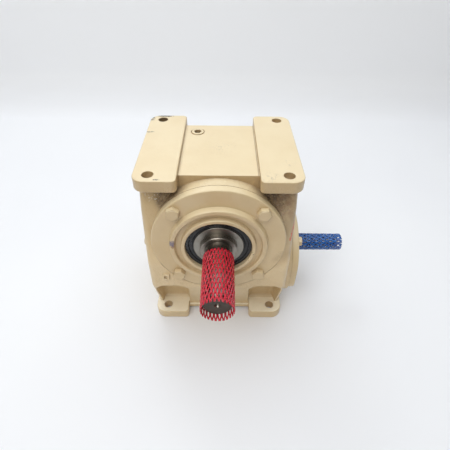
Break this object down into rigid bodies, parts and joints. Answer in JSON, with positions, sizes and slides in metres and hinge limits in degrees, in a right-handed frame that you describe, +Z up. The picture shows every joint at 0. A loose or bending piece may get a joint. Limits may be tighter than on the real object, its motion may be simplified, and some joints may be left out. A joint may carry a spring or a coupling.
{
  "type": "worm_gearbox",
  "caption": "Right-angle worm gearbox in a cream cast case, with top and bottom bolting pads and net-sleeved output and input shafts",
  "frame": {"origin": "Centre of the foot bolt pattern, on the foot plane", "axes": "Z up, square to the foot plane; -Y out along the output shaft; +X out along the input shaft"},
  "size_m": [0.2444, 0.2211, 0.213],
  "materials": {
    "cream_paint": "sprayed cream enamel over rough castings, semi-gloss, dusty in the corners",
    "turned_steel": "turned shaft steel with an oil film and light staining",
    "worm_steel": "ground worm shaft, cream overspray at the root of its extension",
    "ground_steel": "ground, fine circumferential lay",
    "bearing_steel": "polished bearing steel",
    "plain_steel": "plain machined steel",
    "cast_iron": "grey cast iron, machined faces",
    "bronze": "hobbed bronze",
    "seal_rubber": "oily black nitrile",
    "gasket_paper": "oiled gasket paper",
    "red_net": "extruded red polyethylene net",
    "blue_net": "extruded blue polyethylene net"
  },
  "bodies": {
    "case": {"housing": "cream_paint", "output_cover": "cream_paint", "output_gasket": "gasket_paper", "output_cover_bolts": "cream_paint", "rear_cover": "cream_paint", "rear_gasket": "gasket_paper", "rear_cover_bolts": "cream_paint", "output_seal": "seal_rubber", "output_seal_spring": "plain_steel", "input_cover": "cream_paint", "input_gasket": "gasket_paper", "input_cover_bolts": "cream_paint", "input_seal": "seal_rubber", "end_cover": "cream_paint", "end_gasket": "gasket_paper", "end_cover_bolts": "cream_paint", "fill_plug": "cream_paint", "level_plug": "cream_paint", "drain_plug": "cream_paint", "front_bearing_cup": "bearing_steel", "rear_bearing_cup": "bearing_steel", "input_bearing_outer": "bearing_steel", "end_bearing_outer": "bearing_steel"},
    "wheel_shaft": {"output_shaft": "turned_steel", "gear_hub": "cast_iron", "gear_rim": "bronze", "gear_rim_screws": "plain_steel", "gear_key": "plain_steel", "front_spacer": "plain_steel", "rear_spacer": "plain_steel", "seal_collar": "ground_steel", "rear_retaining_ring": "plain_steel", "front_bearing_cone": "bearing_steel", "rear_bearing_cone": "bearing_steel"},
    "worm": {"worm_shaft": "worm_steel", "input_bearing_inner": "bearing_steel", "end_bearing_inner": "bearing_steel", "worm_locknut": "plain_steel", "worm_lock_washer": "plain_steel", "input_retaining_ring": "plain_steel"},
    "front_rollers": {"front_bearing_rollers": "bearing_steel", "front_bearing_cage": "bearing_steel"},
    "rear_rollers": {"rear_bearing_rollers": "bearing_steel", "rear_bearing_cage": "bearing_steel"},
    "input_balls": {"input_bearing_balls": "bearing_steel", "input_bearing_cage": "bearing_steel"},
    "end_balls": {"end_bearing_balls": "bearing_steel", "end_bearing_cage": "bearing_steel"},
    "output_sleeve": {"output_net": "red_net"},
    "input_sleeve": {"input_net": "blue_net"}
  },
  "joints": [
    {"name": "output_spin", "type": "hinge", "parent": "case", "child": "wheel_shaft", "pos_m": [0, 0, 0.1365], "axis": [0, 1, 0], "continuous": true},
    {"name": "input_spin", "type": "hinge", "parent": "case", "child": "worm", "pos_m": [0, 0, 0.073], "axis": [1, 0, 0], "continuous": true},
    {"name": "front_rollers_spin", "type": "hinge", "parent": "case", "child": "front_rollers", "pos_m": [0, 0, 0.1365], "axis": [0, 1, 0], "continuous": true},
    {"name": "rear_rollers_spin", "type": "hinge", "parent": "case", "child": "rear_rollers", "pos_m": [0, 0, 0.1365], "axis": [0, 1, 0], "continuous": true},
    {"name": "input_balls_spin", "type": "hinge", "parent": "case", "child": "input_balls", "pos_m": [0, 0, 0.073], "axis": [1, 0, 0], "continuous": true},
    {"name": "end_balls_spin", "type": "hinge", "parent": "case", "child": "end_balls", "pos_m": [0, 0, 0.073], "axis": [1, 0, 0], "continuous": true},
    {"name": "output_sleeve_slide", "type": "slide", "parent": "wheel_shaft", "child": "output_sleeve", "axis": [0, -1, 0], "range_m": [0, 0.075]},
    {"name": "input_sleeve_slide", "type": "slide", "parent": "worm", "child": "input_sleeve", "axis": [1, 0, 0], "range_m": [0, 0.06]}
  ],
  "couplings": [
    {"joint": "input_spin", "follows": "output_spin", "ratio": 30},
    {"joint": "front_rollers_spin", "follows": "output_spin", "ratio": 0.436},
    {"joint": "rear_rollers_spin", "follows": "output_spin", "ratio": 0.436},
    {"joint": "input_balls_spin", "follows": "output_spin", "ratio": 11.445},
    {"joint": "end_balls_spin", "follows": "output_spin", "ratio": 11.445}
  ]
}
